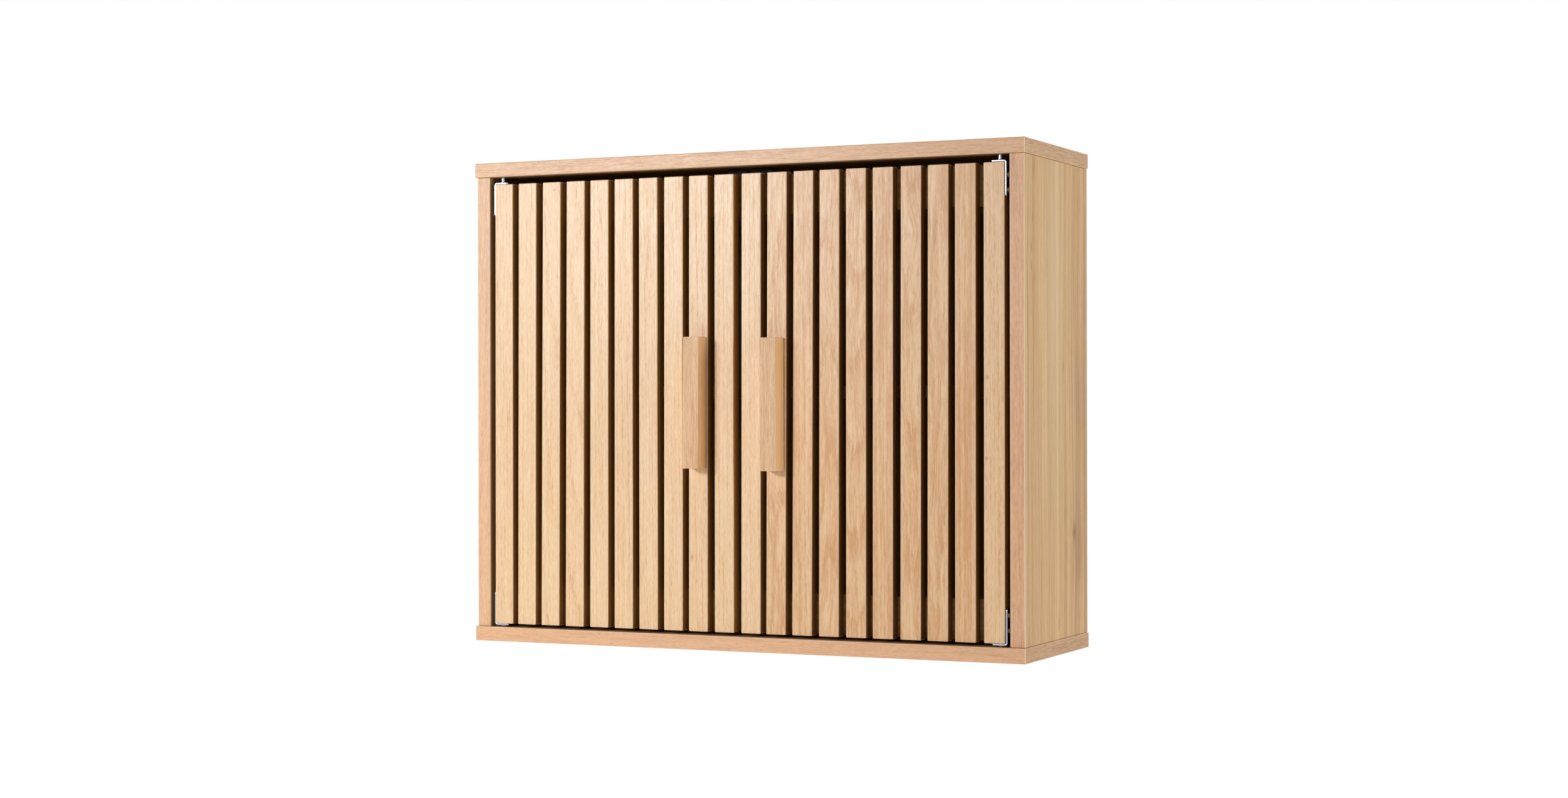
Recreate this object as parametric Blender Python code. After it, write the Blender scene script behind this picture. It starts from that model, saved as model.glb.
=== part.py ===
"""Wall cabinet for a bathroom, with two doors made of vertical slats.

The carcass is two side panels between a top and a bottom panel, with a thin back panel let into
grooves, a rail behind it and a steel hanger with a keyhole in each upper corner at the back. Each
door is a row of slats on two cross rails. It turns on two pivot pins, held by bent steel brackets
on the ends of its outer slat.

All sizes are in metres. X runs across the front, Y from the front to the wall and Z up. The origin
is on the wall, midway between the two screws that the cabinet hangs on.
"""

import math

import bmesh
import bpy
from mathutils import Matrix, Vector

# Gap between pieces that touch
FIT_GAP = 0.0003

# Carcass
CABINET_WIDTH = 0.610
CABINET_HEIGHT = 0.500
CABINET_DEPTH = 0.190
BOARD = 0.015
BOARD_ROUND = 0.001
SIDE_INSET = 0.0015
SIDE_SETBACK = 0.003
SIDE_ROUND = 0.0006
BACK_THICKNESS = 0.005
BACK_GROOVE_DEPTH = 0.006
DOWEL_RADIUS = 0.004
DOWEL_REACH = 0.010
DOWEL_MARGIN = 0.040
DOWEL_COUNT = 3

# Shelf on pins, with rows of holes to move it
SHELF_THICKNESS = 0.012
SHELF_SIDE_GAP = 0.0005
SHELF_FRONT_GAP = 0.010
SHELF_PIN_RADIUS = 0.0025
SHELF_PIN_LENGTH = 0.016
SHELF_PIN_MARGIN = 0.025
SHELF_HOLE_DEPTH = 0.009
SHELF_HOLE_PITCH = 0.032
SHELF_HOLE_ROWS = 3

# Back rail, and the angle brackets with keyholes that the cabinet hangs on
BACK_RAIL_THICKNESS = 0.0117
BACK_RAIL_HEIGHT = 0.060
HANGER_WIDTH = 0.030
HANGER_DEPTH = 0.010
HANGER_HEIGHT = 0.050
HANGER_THICKNESS = 0.0015
HANGER_BEND = 0.001
HANGER_RAIL_GAP = 0.006
HANGER_SCREW_RADIUS = 0.002
HANGER_SCREW_LAND = 0.008
KEY_MARGIN = 0.0165
KEY_SLOT_RADIUS = 0.0025
KEY_ENTRY_RADIUS = 0.00475
KEY_DROP = 0.012

# Doors
SLAT_COUNT = 10
SLAT_GAP = 0.0074
SLAT_THICKNESS = 0.013
SLAT_ROUND = 0.0009
DOOR_SETBACK = 0.004
HINGE_GAP = 0.0056
MEETING_GAP = 0.0086
DOOR_RAIL_HEIGHT = 0.040
DOOR_RAIL_THICKNESS = 0.012
DOOR_RAIL_INSET = 0.001
DOOR_RAIL_ROUND = 0.0006

# Handles
HANDLE_LENGTH = 0.132
HANDLE_WIDTH = 0.0175
HANDLE_DEPTH = 0.019
HANDLE_ROUND = 0.0011
HANDLE_SLAT = 2

# Hinge brackets, pivot pins and bracket screws
BRACKET_THICKNESS = 0.0015
BRACKET_WIDTH = 0.010
BRACKET_FOOT = 0.016
BRACKET_LEG = 0.035
BRACKET_BEND = 0.001
BRACKET_CORNER = 0.002
PIN_RADIUS = 0.002
PIN_SHOWS = 0.0046
PIN_REACH = 0.009
PIN_TAIL = 0.007
PIN_TIP = 0.0006
COLLAR_RADIUS = 0.0032
COLLAR_HEIGHT = 0.0011
SCREW_RADIUS = 0.0015
SCREW_LENGTH = 0.014
SCREW_HEAD_RADIUS = 0.0028
SCREW_HEAD_HEIGHT = 0.0015
SCREW_FIRST = 0.014
SCREW_LAND = 0.0065

# Magnetic catch and its strike plates
CATCH_DEPTH = 0.014
CATCH_WALL = 0.0014
CATCH_ROUND = 0.0008
MAGNET_WIDTH = 0.016
MAGNET_HEIGHT = 0.010
MAGNET_DEPTH = 0.006
STRIKE_WIDTH = 0.019
STRIKE_HEIGHT = 0.012
STRIKE_THICKNESS = 0.0012
STRIKE_CORNER = 0.0015
STRIKE_INSET = 0.0015

# Sides of the round pieces and of their holes, steps in a quarter turn, and cuts through a plate
ROUND_SIDES = 16
PIN_SIDES = 24
ARC_STEPS = 4
ALMOST = 0.99
MERGE = 1e-6
THROUGH = 4

# Heights above the underside of the cabinet
inner_bottom = BOARD
inner_top = CABINET_HEIGHT - BOARD
door_bottom = inner_bottom + FIT_GAP + COLLAR_HEIGHT + BRACKET_THICKNESS + FIT_GAP
door_top = inner_top - PIN_SHOWS - COLLAR_HEIGHT - BRACKET_THICKNESS - FIT_GAP
door_middle = (door_bottom + door_top) / 2
hang_height = inner_top - FIT_GAP - BACK_RAIL_HEIGHT / 2
shelf_pin_height = CABINET_HEIGHT / 2
shelf_bottom = shelf_pin_height + SHELF_PIN_RADIUS + FIT_GAP

# Distances from the middle of the cabinet
side_outer = CABINET_WIDTH / 2 - SIDE_INSET
side_inner = side_outer - BOARD
side_middle = (side_inner + side_outer) / 2
door_outer = side_inner - HINGE_GAP
door_inner = MEETING_GAP / 2
door_width = door_outer - door_inner
slat_width = (door_width - (SLAT_COUNT - 1) * SLAT_GAP) / SLAT_COUNT
slat_pitch = slat_width + SLAT_GAP
bracket_outer = door_outer + FIT_GAP + BRACKET_THICKNESS
pivot_x = bracket_outer - BRACKET_FOOT / 2
hanger_outer = side_inner - FIT_GAP
back_rail_end = hanger_outer - HANGER_WIDTH - HANGER_RAIL_GAP
magnet_x = door_inner + STRIKE_INSET + STRIKE_WIDTH / 2
catch_end = magnet_x + MAGNET_WIDTH / 2 + FIT_GAP + CATCH_WALL

# Distances from the wall, negative towards the front
front = -CABINET_DEPTH
side_front = front + SIDE_SETBACK
slat_front = front + DOOR_SETBACK
slat_back = slat_front + SLAT_THICKNESS
pivot_y = (slat_front + slat_back) / 2
door_rail_front = slat_back + FIT_GAP
door_rail_back = door_rail_front + DOOR_RAIL_THICKNESS
strike_back = door_rail_back + FIT_GAP + STRIKE_THICKNESS
back_rear = -BACK_RAIL_THICKNESS - FIT_GAP
back_front = back_rear - BACK_THICKNESS
shelf_front = door_rail_back + SHELF_FRONT_GAP
shelf_back = back_front - FIT_GAP


def linear(red, green, blue):
    """A colour read from a picture, from 0 to 255, as Blender's linear colour."""
    shares = [value / 255 for value in (red, green, blue)]
    return [s / 12.92 if s <= 0.04045 else ((s + 0.055) / 1.055) ** 2.4 for s in shares]


def material(name, colour, roughness, metallic=0.0):
    """A plain Principled material with the piece's colour and finish."""
    made = bpy.data.materials.new(name)
    made.use_nodes = True
    shader = made.node_tree.nodes["Principled BSDF"]
    shader.inputs["Base Color"].default_value = (*colour, 1.0)
    shader.inputs["Roughness"].default_value = roughness
    shader.inputs["Metallic"].default_value = metallic
    made.diffuse_color = (*colour, 1.0)
    return made


def guide(name, place, parent=None):
    """An empty that carries the pieces of one body."""
    made = bpy.data.objects.new(name, None)
    made.location = place
    made.parent = parent
    bpy.context.collection.objects.link(made)
    return made


def piece(name, bm, place, body, finish):
    """An object with this mesh at a place in the cabinet, under the empty of its body."""
    mesh = bpy.data.meshes.new(name)
    bmesh.ops.recalc_face_normals(bm, faces=bm.faces)
    bm.to_mesh(mesh)
    bm.free()
    made = bpy.data.objects.new(name, mesh)
    bpy.context.collection.objects.link(made)
    made.parent = body["empty"]
    made.location = Vector(place) - body["place"]
    if finish is not None:
        mesh.materials.append(finish)
    return made


def cut(target, name, bm, place, body, operation="DIFFERENCE"):
    """Cuts a shape out of the target, or joins it on, with a Boolean modifier."""
    cutter = piece(name, bm, place, body, None)
    cutter.hide_render = True
    cutter.display_type = "WIRE"
    modifier = target.modifiers.new(name, "BOOLEAN")
    modifier.operation = operation
    modifier.solver = "EXACT"
    modifier.object = cutter


def box(size):
    """A box of this size, about its middle."""
    bm = bmesh.new()
    bmesh.ops.create_cube(bm, size=1.0, matrix=Matrix.Diagonal((*size, 1.0)))
    return bm


def round_edges(bm, radius, chosen=lambda edge: True, segments=2):
    """Rounds the chosen edges of a mesh."""
    edges = [edge for edge in bm.edges if chosen(edge)]
    bmesh.ops.bevel(bm, geom=edges, offset=radius, segments=segments, profile=0.5,
                    affect="EDGES", material=-1, clamp_overlap=True)
    return bm


def runs_along(axis, tests=()):
    """Picks the edges that run along an axis, on the side of the middle that each test names."""
    def chosen(edge):
        start, end = (vertex.co for vertex in edge.verts)
        middle = (start + end) / 2
        straight = abs((end - start).normalized()[axis]) > ALMOST
        return straight and all(middle[other] * sign > 0 for other, sign in tests)
    return chosen


def quarter_turn(axis):
    """The turn that lays a shape made along Z along another axis."""
    if axis == "Z":
        return Matrix.Identity(4)
    return Matrix.Rotation(math.pi / 2, 4, "Y" if axis == "X" else "X")


def turned(profile, sides, axis="Z"):
    """A closed turned solid from (radius, height) points that start and end on the axis."""
    bm = bmesh.new()
    vertices = [bm.verts.new((radius, 0, height)) for radius, height in profile]
    edges = [bm.edges.new(pair) for pair in zip(vertices, vertices[1:])]
    bmesh.ops.spin(bm, geom=vertices + edges, cent=(0, 0, 0), axis=(0, 0, 1), dvec=(0, 0, 0),
                   angle=math.tau, steps=sides, use_merge=True, use_normal_flip=False,
                   use_duplicate=False)
    bmesh.ops.remove_doubles(bm, verts=bm.verts, dist=MERGE)
    bmesh.ops.transform(bm, matrix=quarter_turn(axis), verts=bm.verts)
    return bm


def rods(places, radius, length, axis, sides=ROUND_SIDES):
    """Plain round rods in one mesh, centred at these places and lying along an axis."""
    bm = bmesh.new()
    for place in places:
        matrix = Matrix.Translation(place) @ quarter_turn(axis)
        bmesh.ops.create_cone(bm, cap_ends=True, segments=sides, radius1=radius, radius2=radius,
                              depth=length, matrix=matrix)
    return bm


def arc(centre, radius, start, end, steps=ARC_STEPS):
    """Points on an arc from one angle to another, in radians."""
    angles = [start + (end - start) * step / steps for step in range(steps + 1)]
    return [(centre[0] + radius * math.cos(a), centre[1] + radius * math.sin(a)) for a in angles]


def rounded_rectangle(width, height, radius):
    """The outline of a rectangle with round corners, about its middle."""
    points = []
    for turn, (right, up) in enumerate([(1, 1), (-1, 1), (-1, -1), (1, -1)]):
        centre = (right * (width / 2 - radius), up * (height / 2 - radius))
        points += arc(centre, radius, turn * math.pi / 2, (turn + 1) * math.pi / 2)
    return points


def plate(outline, thickness):
    """A flat plate with an outline across X and Z, centred on Y."""
    bm = bmesh.new()
    face = bm.faces.new([bm.verts.new((x, -thickness / 2, z)) for x, z in outline])
    swept = bmesh.ops.extrude_face_region(bm, geom=[face])
    moved = [item for item in swept["geom"] if isinstance(item, bmesh.types.BMVert)]
    bmesh.ops.translate(bm, verts=moved, vec=(0, thickness, 0))
    return bm


def smooth(made, angle=math.radians(40)):
    """Shades a round piece smooth, up to its sharp edges."""
    made.data.shade_smooth()
    made.data.set_sharp_from_angle(angle=angle)


def panel(name, bottom, inward, body, finishes):
    """The top or the bottom panel, grooved and bored on the face that looks inward."""
    centre = Vector((0, front / 2, bottom + BOARD / 2))
    bm = round_edges(box((CABINET_WIDTH, CABINET_DEPTH, BOARD)), BOARD_ROUND)
    made = piece(name, bm, centre, body, finishes["oak_board"])
    face = bottom + BOARD if inward > 0 else bottom
    groove = (2 * (side_inner + BACK_GROOVE_DEPTH), BACK_THICKNESS + 2 * FIT_GAP,
              2 * BACK_GROOVE_DEPTH)
    cut(made, f"{name}_groove", box(groove), (0, (back_front + back_rear) / 2, face), body)
    pivots = [(side * pivot_x, pivot_y, 0) for side in (-1, 1)]
    depth = 2 * (PIN_REACH + FIT_GAP)
    bm = rods(pivots, PIN_RADIUS + FIT_GAP, depth, "Z", PIN_SIDES)
    cut(made, f"{name}_pivot_holes", bm, (0, 0, face), body)
    dowels = [(side * side_middle, y, 0) for side in (-1, 1) for y in dowel_rows()]
    bm = rods(dowels, DOWEL_RADIUS + FIT_GAP, 2 * (DOWEL_REACH + FIT_GAP), "Z")
    cut(made, f"{name}_dowel_holes", bm, (0, 0, face), body)


def dowel_rows():
    """How far from the wall the dowels stand."""
    first, last = side_front + DOWEL_MARGIN, -DOWEL_MARGIN
    return [first + (last - first) * step / (DOWEL_COUNT - 1) for step in range(DOWEL_COUNT)]


def shelf_pin_rows():
    """How far from the wall the shelf pins stand."""
    return [shelf_front + SHELF_PIN_MARGIN, shelf_back - SHELF_PIN_MARGIN]


def side_panel(name, side, body, finishes):
    """A side panel with its groove, its dowels and the rows of holes for the shelf pins."""
    height = inner_top - inner_bottom - 2 * FIT_GAP
    centre = Vector((side * side_middle, side_front / 2, (inner_bottom + inner_top) / 2))
    bm = round_edges(box((BOARD, -side_front, height)), SIDE_ROUND, runs_along(2, [(1, -1)]))
    made = piece(name, bm, centre, body, finishes["oak_board"])
    groove = (2 * BACK_GROOVE_DEPTH, BACK_THICKNESS + 2 * FIT_GAP, 2 * height)
    place = (side * side_inner, (back_front + back_rear) / 2, centre.z)
    cut(made, f"{name}_groove", box(groove), place, body)
    middle = (SHELF_HOLE_ROWS - 1) / 2
    heights = [(row - middle) * SHELF_HOLE_PITCH for row in range(SHELF_HOLE_ROWS)]
    holes = [(0, y, z) for y in shelf_pin_rows() for z in heights]
    bm = rods(holes, SHELF_PIN_RADIUS + FIT_GAP, 2 * SHELF_HOLE_DEPTH, "X")
    cut(made, f"{name}_shelf_holes", bm, (side * side_inner, 0, shelf_pin_height), body)
    dowels = [(0, y, up * height / 2) for y in dowel_rows() for up in (-1, 1)]
    bm = rods(dowels, DOWEL_RADIUS, 2 * DOWEL_REACH, "Z")
    cut(made, f"{name}_dowels", bm, (centre.x, 0, centre.z), body, "UNION")


def back_panel(body, finishes):
    """The thin back, let into the grooves of the four panels round it."""
    held = BACK_GROOVE_DEPTH - FIT_GAP
    size = (2 * (side_inner + held), BACK_THICKNESS, inner_top - inner_bottom + 2 * held)
    place = (0, (back_front + back_rear) / 2, (inner_bottom + inner_top) / 2)
    piece("back_panel", box(size), place, body, finishes["back_board"])


def shelf(body, finishes):
    """The loose shelf and the four pins that it lies on."""
    size = (2 * (side_inner - SHELF_SIDE_GAP), shelf_back - shelf_front, SHELF_THICKNESS)
    place = (0, (shelf_front + shelf_back) / 2, shelf_bottom + SHELF_THICKNESS / 2)
    bm = round_edges(box(size), SIDE_ROUND, runs_along(0, [(1, -1)]))
    piece("shelf", bm, place, body, finishes["oak_board"])
    inside = SHELF_HOLE_DEPTH - FIT_GAP
    shows = SHELF_PIN_LENGTH - inside
    tip = SHELF_PIN_RADIUS - PIN_TIP
    profile = [(0, -inside), (tip, -inside), (SHELF_PIN_RADIUS, PIN_TIP - inside),
               (SHELF_PIN_RADIUS, shows - PIN_TIP), (tip, shows), (0, shows)]
    for side, hand in ((-1, "left"), (1, "right")):
        for y, end in zip(shelf_pin_rows(), ("front", "back")):
            points = [(radius, -side * height) for radius, height in profile]
            bm = turned(points, ROUND_SIDES, "X")
            place = (side * side_inner, y, shelf_pin_height)
            smooth(piece(f"shelf_pin_{hand}_{end}", bm, place, body, finishes["steel"]))


def keyhole():
    """The outline of a keyhole, with its seat at the middle and its entry below."""
    spread = math.asin(KEY_SLOT_RADIUS / KEY_ENTRY_RADIUS)
    start = math.pi / 2 + spread
    end = start + math.tau - 2 * spread
    entry = arc((0, -KEY_DROP), KEY_ENTRY_RADIUS, start, end, 4 * ARC_STEPS)
    return arc((0, 0), KEY_SLOT_RADIUS, 0, math.pi, 2 * ARC_STEPS) + entry


def bent_strip(foot, leg, thickness, bend):
    """The outline of a strip bent square, with its outer corner at the origin."""
    outer = bend + thickness
    outline = [(-foot, 0), (-foot, -thickness)]
    outline += arc((-outer, -outer), bend, math.pi / 2, 0)
    outline += [(-thickness, -leg), (0, -leg)]
    return outline + arc((-outer, -outer), outer, 0, math.pi / 2)


def back_rail(body, finishes):
    """The rail between the back panel and the wall, under the top panel."""
    size = (2 * back_rail_end, BACK_RAIL_THICKNESS, BACK_RAIL_HEIGHT)
    place = (0, -BACK_RAIL_THICKNESS / 2, hang_height)
    piece("back_rail", box(size), place, body, finishes["rail_wood"])


def hanger(side, hand, body, finishes):
    """An angle bracket on a side panel, with a keyhole for a wall screw."""
    name = f"hanger_bracket_{hand}"
    height = hang_height - KEY_DROP / 2
    bm = plate(bent_strip(HANGER_WIDTH, HANGER_DEPTH, HANGER_THICKNESS, HANGER_BEND), HANGER_HEIGHT)
    turn = Matrix.Diagonal((side, 1, 1, 1)) @ Matrix.Rotation(-math.pi / 2, 4, "X")
    bmesh.ops.transform(bm, matrix=turn, verts=bm.verts)
    bracket = piece(name, bm, (side * hanger_outer, 0, height), body, finishes["hanger_steel"])
    bm = plate(keyhole(), THROUGH * HANGER_THICKNESS)
    key_x = side * (side_inner - KEY_MARGIN)
    cut(bracket, f"{name}_keyhole", bm, (key_x, 0, hang_height), body)
    screws = [(0, 0, up * (HANGER_HEIGHT / 2 - HANGER_SCREW_LAND)) for up in (-1, 1)]
    bm = rods(screws, HANGER_SCREW_RADIUS, THROUGH * HANGER_THICKNESS, "X")
    cut(bracket, f"{name}_screw_holes", bm, (side * hanger_outer, -HANGER_DEPTH / 2, height), body)


def slat_x(side, number):
    """The middle of a slat, counted from 1 at the hinge."""
    return side * (door_outer - slat_width / 2 - (number - 1) * slat_pitch)


def slats(side, hand, body, finishes):
    """The slats of one door. The outer one is bored for the pivot pins and the bracket screws."""
    height = door_top - door_bottom
    for number in range(1, SLAT_COUNT + 1):
        name = f"{hand}_slat_{number:02d}"
        bm = round_edges(box((slat_width, SLAT_THICKNESS, height)), SLAT_ROUND)
        place = (slat_x(side, number), pivot_y, door_middle)
        made = piece(name, bm, place, body, finishes["oak_slat"])
        if number > 1:
            continue
        tails = [(0, 0, up * height / 2) for up in (-1, 1)]
        bm = rods(tails, PIN_RADIUS + FIT_GAP, 2 * (PIN_TAIL + FIT_GAP), "Z", PIN_SIDES)
        cut(made, f"{name}_pin_holes", bm, (side * pivot_x, pivot_y, door_middle), body)
        screws = [(0, 0, up * z) for up in (-1, 1) for z in screw_heights()]
        inside = SCREW_LENGTH - BRACKET_THICKNESS
        bm = rods(screws, SCREW_RADIUS + FIT_GAP, 2 * inside, "X")
        cut(made, f"{name}_screw_holes", bm, (side * door_outer, pivot_y, door_middle), body)


def screw_heights():
    """How far above or below the middle of the door the bracket screws stand."""
    corner = (door_top - door_bottom) / 2 + FIT_GAP + BRACKET_THICKNESS
    return [corner - SCREW_FIRST, corner - BRACKET_LEG + SCREW_LAND]


def door_rails(side, hand, body, finishes):
    """The two cross rails behind the slats of one door."""
    size = (door_width - 2 * DOOR_RAIL_INSET, DOOR_RAIL_THICKNESS, DOOR_RAIL_HEIGHT)
    x = side * (door_outer + door_inner) / 2
    y = (door_rail_front + door_rail_back) / 2
    offset = DOOR_RAIL_INSET + DOOR_RAIL_HEIGHT / 2
    for end, z in (("top", door_top - offset), ("bottom", door_bottom + offset)):
        bm = round_edges(box(size), DOOR_RAIL_ROUND, segments=1)
        piece(f"{hand}_{end}_rail", bm, (x, y, z), body, finishes["rail_wood"])


def handle(side, hand, body, finishes):
    """The wooden bar on the front of one slat, counted from the meeting edge."""
    bm = round_edges(box((HANDLE_WIDTH, HANDLE_DEPTH, HANDLE_LENGTH)), HANDLE_ROUND)
    x = slat_x(side, SLAT_COUNT + 1 - HANDLE_SLAT)
    y = slat_front - FIT_GAP - HANDLE_DEPTH / 2
    piece(f"{hand}_handle", bm, (x, y, door_middle), body, finishes["oak_handle"])


def bracket_shape(side, up):
    """A bent strip with its foot towards the middle of the door and its leg along the slat."""
    outline = bent_strip(BRACKET_FOOT, BRACKET_LEG, BRACKET_THICKNESS, BRACKET_BEND)
    bm = plate(outline, BRACKET_WIDTH)

    def at_an_end(edge):
        """Picks the short edges across the strip's thickness at its two ends."""
        middle = (edge.verts[0].co + edge.verts[1].co) / 2
        short = edge.calc_length() * ALMOST < BRACKET_THICKNESS
        return short and (middle.x < -BRACKET_FOOT * ALMOST or middle.z < -BRACKET_LEG * ALMOST)

    round_edges(bm, BRACKET_CORNER, at_an_end, ARC_STEPS // 2)
    bmesh.ops.transform(bm, matrix=Matrix.Diagonal((side, 1, up, 1)), verts=bm.verts)
    return bm


def hinge(side, hand, up, end, body, finishes):
    """One bracket, its two screws and its pivot pin."""
    edge = door_top if up > 0 else door_bottom
    corner_z = edge + up * (FIT_GAP + BRACKET_THICKNESS)
    name = f"{hand}_{end}_bracket"
    corner = (side * bracket_outer, pivot_y, corner_z)
    bracket = piece(name, bracket_shape(side, up), corner, body, finishes["steel"])
    pivot = (side * pivot_x, pivot_y, corner_z)
    bm = rods([(0, 0, 0)], PIN_RADIUS + FIT_GAP, THROUGH * BRACKET_THICKNESS, "Z", PIN_SIDES)
    cut(bracket, f"{name}_pin_hole", bm, pivot, body)
    places = [(0, 0, up * z) for z in screw_heights()]
    bm = rods(places, SCREW_RADIUS + FIT_GAP, THROUGH * BRACKET_THICKNESS, "X")
    cut(bracket, f"{name}_screw_holes", bm, (side * bracket_outer, pivot_y, door_middle), body)
    pivot_pin(f"{hand}_{end}_pin", up, pivot, body, finishes)
    for number, z in enumerate(screw_heights(), 1):
        place = (side * (bracket_outer + FIT_GAP), pivot_y, door_middle + up * z)
        screw(f"{hand}_{end}_screw_{number}", side, place, body, finishes)


def pivot_pin(name, up, pivot, body, finishes):
    """A pivot pin with a collar on the bracket, a tail in the slat and its tip in the panel."""
    shows = PIN_SHOWS if up > 0 else FIT_GAP
    tail = -(BRACKET_THICKNESS + FIT_GAP + PIN_TAIL)
    tip = COLLAR_HEIGHT + shows + PIN_REACH
    profile = [(0, tail), (PIN_RADIUS, tail), (PIN_RADIUS, FIT_GAP), (COLLAR_RADIUS, FIT_GAP),
               (COLLAR_RADIUS, (FIT_GAP + COLLAR_HEIGHT) / 2), (PIN_RADIUS, COLLAR_HEIGHT),
               (PIN_RADIUS, tip - PIN_TIP), (PIN_RADIUS - PIN_TIP, tip), (0, tip)]
    bm = turned([(radius, up * height) for radius, height in profile], PIN_SIDES)
    smooth(piece(name, bm, pivot, body, finishes["steel"]))


def screw(name, side, place, body, finishes):
    """A pan-head screw with its head on the bracket and its shank in the slat."""
    dome = arc((0, 0), 1, 0, math.pi / 2)
    profile = [(0, -SCREW_LENGTH), (SCREW_RADIUS, 2 * SCREW_RADIUS - SCREW_LENGTH), (SCREW_RADIUS, 0)]
    profile += [(SCREW_HEAD_RADIUS * out, SCREW_HEAD_HEIGHT * high) for out, high in dome]
    bm = turned([(radius, side * height) for radius, height in profile], ROUND_SIDES, "X")
    smooth(piece(name, bm, place, body, finishes["steel"]))


def catch(body, doors, finishes):
    """The double magnetic catch under the top panel, and a strike plate on each door."""
    strike_top = door_top - DOOR_RAIL_INSET - STRIKE_INSET
    magnet_z = strike_top - STRIKE_HEIGHT / 2
    magnet_front = strike_back + FIT_GAP
    bottom = magnet_z - MAGNET_HEIGHT / 2 - FIT_GAP - CATCH_WALL
    top = inner_top - FIT_GAP
    catch_front = magnet_front + FIT_GAP
    bm = round_edges(box((2 * catch_end, CATCH_DEPTH, top - bottom)), CATCH_ROUND)
    place = (0, catch_front + CATCH_DEPTH / 2, (top + bottom) / 2)
    housing = piece("catch_housing", bm, place, body, finishes["catch_plastic"])
    pocket = (MAGNET_WIDTH + 2 * FIT_GAP, 2 * MAGNET_DEPTH, MAGNET_HEIGHT + 2 * FIT_GAP)
    outline = rounded_rectangle(STRIKE_WIDTH, STRIKE_HEIGHT, STRIKE_CORNER)
    for side, hand in ((-1, "left"), (1, "right")):
        x = side * magnet_x
        cut(housing, f"catch_{hand}_pocket", box(pocket), (x, catch_front, magnet_z), body)
        bm = box((MAGNET_WIDTH, MAGNET_DEPTH, MAGNET_HEIGHT))
        place = (x, magnet_front + MAGNET_DEPTH / 2, magnet_z)
        piece(f"catch_magnet_{hand}", bm, place, body, finishes["magnet"])
        bm = plate(outline, STRIKE_THICKNESS)
        place = (x, strike_back - STRIKE_THICKNESS / 2, magnet_z)
        piece(f"{hand}_strike_plate", bm, place, doors[side], finishes["steel"])


def make_finishes():
    """The finishes, with their colours as the photograph shows them."""
    return {
        "oak_board": material("oak_board", linear(226, 184, 144), 0.55),
        "oak_slat": material("oak_slat", linear(236, 200, 164), 0.55),
        "oak_handle": material("oak_handle", linear(228, 186, 148), 0.5),
        "rail_wood": material("rail_wood", linear(150, 106, 66), 0.7),
        "back_board": material("back_board", linear(168, 128, 90), 0.8),
        "steel": material("steel", linear(214, 214, 216), 0.25, 1.0),
        "hanger_steel": material("hanger_steel", linear(190, 192, 194), 0.4, 1.0),
        "catch_plastic": material("catch_plastic", linear(74, 56, 44), 0.45),
        "magnet": material("magnet", linear(70, 70, 74), 0.4, 0.8),
    }


def build():
    """Clears the scene and builds the cabinet with both doors shut."""
    for old in list(bpy.data.objects):
        bpy.data.objects.remove(old)
    finishes = make_finishes()
    root = guide("cabinet_frame", (0, 0, -hang_height))
    cabinet = {"empty": root, "place": Vector((0, 0, 0))}
    panel("top_panel", inner_top, -1, cabinet, finishes)
    panel("bottom_panel", 0, 1, cabinet, finishes)
    side_panel("left_side_panel", -1, cabinet, finishes)
    side_panel("right_side_panel", 1, cabinet, finishes)
    back_panel(cabinet, finishes)
    shelf(cabinet, finishes)
    back_rail(cabinet, finishes)
    doors = {}
    for side, hand in ((-1, "left"), (1, "right")):
        hanger(side, hand, cabinet, finishes)
        axis = Vector((side * pivot_x, pivot_y, 0))
        door = {"empty": guide(f"{hand}_door_axis", axis, root), "place": axis}
        doors[side] = door
        slats(side, hand, door, finishes)
        door_rails(side, hand, door, finishes)
        handle(side, hand, door, finishes)
        hinge(side, hand, 1, "top", door, finishes)
        hinge(side, hand, -1, "bottom", door, finishes)
    catch(cabinet, doors, finishes)


build()
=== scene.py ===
"""Bathroom wall cabinet with slatted doors: its looks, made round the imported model.

All sizes are in metres. X runs across the front, Y from the front to the wall and Z up.
"""

import math
import random
from types import SimpleNamespace

import bmesh
import bpy
from mathutils import Matrix, Vector


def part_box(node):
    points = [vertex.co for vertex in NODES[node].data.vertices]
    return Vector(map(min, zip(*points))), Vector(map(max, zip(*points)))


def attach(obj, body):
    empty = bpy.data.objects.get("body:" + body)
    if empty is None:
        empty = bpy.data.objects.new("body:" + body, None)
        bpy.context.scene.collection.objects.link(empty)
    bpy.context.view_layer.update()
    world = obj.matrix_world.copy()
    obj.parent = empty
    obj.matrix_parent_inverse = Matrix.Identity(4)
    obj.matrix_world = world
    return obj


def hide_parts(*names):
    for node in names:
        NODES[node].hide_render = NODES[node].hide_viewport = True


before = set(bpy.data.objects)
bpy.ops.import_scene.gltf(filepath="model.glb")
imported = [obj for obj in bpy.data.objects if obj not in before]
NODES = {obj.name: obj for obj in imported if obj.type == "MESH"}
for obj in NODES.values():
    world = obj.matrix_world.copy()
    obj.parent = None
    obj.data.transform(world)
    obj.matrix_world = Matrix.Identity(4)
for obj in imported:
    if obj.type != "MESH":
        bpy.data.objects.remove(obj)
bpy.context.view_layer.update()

bl_info = {
    "name": "Slatted wall cabinet",
    "version": (1, 0, 0),
    "blender": (4, 5, 0),
    "location": "3D View > Sidebar > Cabinet",
    "description": "Dresses a bathroom wall cabinet in oak and steel and sets up its studio",
    "category": "Object",
}

HANDS = (("left", -1), ("right", 1))
ENDS = (("top", 1), ("bottom", -1))
SLATS = 10
HANDLE_SLAT = 9
SMOOTH_ANGLE = math.radians(35)
SHARP_ANGLE = math.radians(50)

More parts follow.
